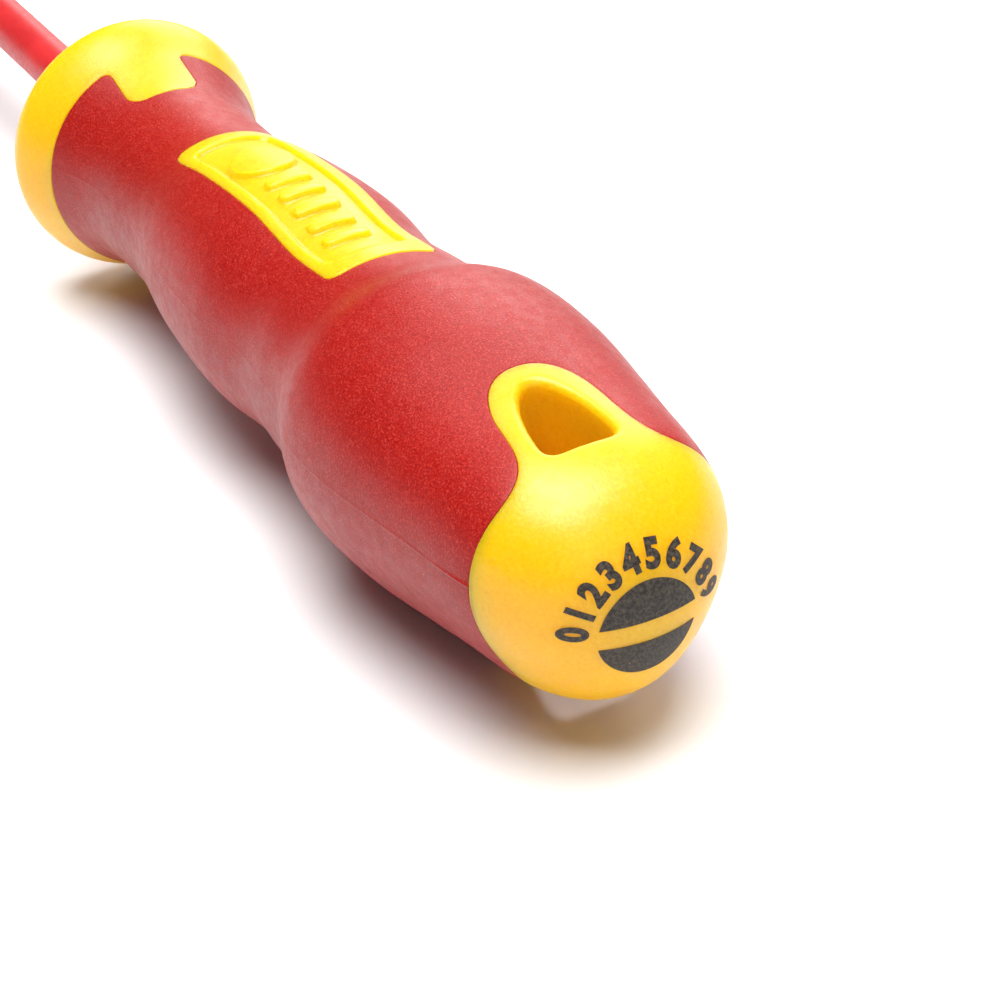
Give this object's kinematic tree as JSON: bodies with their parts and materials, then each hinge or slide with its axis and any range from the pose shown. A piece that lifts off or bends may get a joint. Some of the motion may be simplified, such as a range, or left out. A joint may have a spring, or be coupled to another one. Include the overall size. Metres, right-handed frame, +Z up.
{
  "type": "insulated screwdriver",
  "caption": "Slotted insulated screwdriver: two-layer sleeved blade, hard core with butt dome, hanging eye and guard collar, soft contoured overmoulded grip.",
  "frame": {"origin": "bottom centre of the box of the screwdriver lying on its side, with the label window up", "axes": "+X from the butt along the handle and the blade to the tip, +Z up through the hanging eye"},
  "size_m": [0.1652, 0.0242, 0.0239],
  "materials": {
    "blade_steel": "fine ground, satin",
    "anchor_plastic": "moulded",
    "sleeve_inner": "satin",
    "sleeve_outer": "satin",
    "body_plastic": "satin, finely grained",
    "grip_elastomer": "soft matte, finely grained",
    "ink": "pad printed"
  },
  "bodies": {
    "root": {"blade": "blade_steel", "blade_anchor": "anchor_plastic", "inner_sleeve": "sleeve_inner", "outer_sleeve": "sleeve_outer", "handle_body": "body_plastic", "grip": "grip_elastomer", "print_upper_half": "ink", "print_lower_half": "ink"}
  },
  "joints": []
}
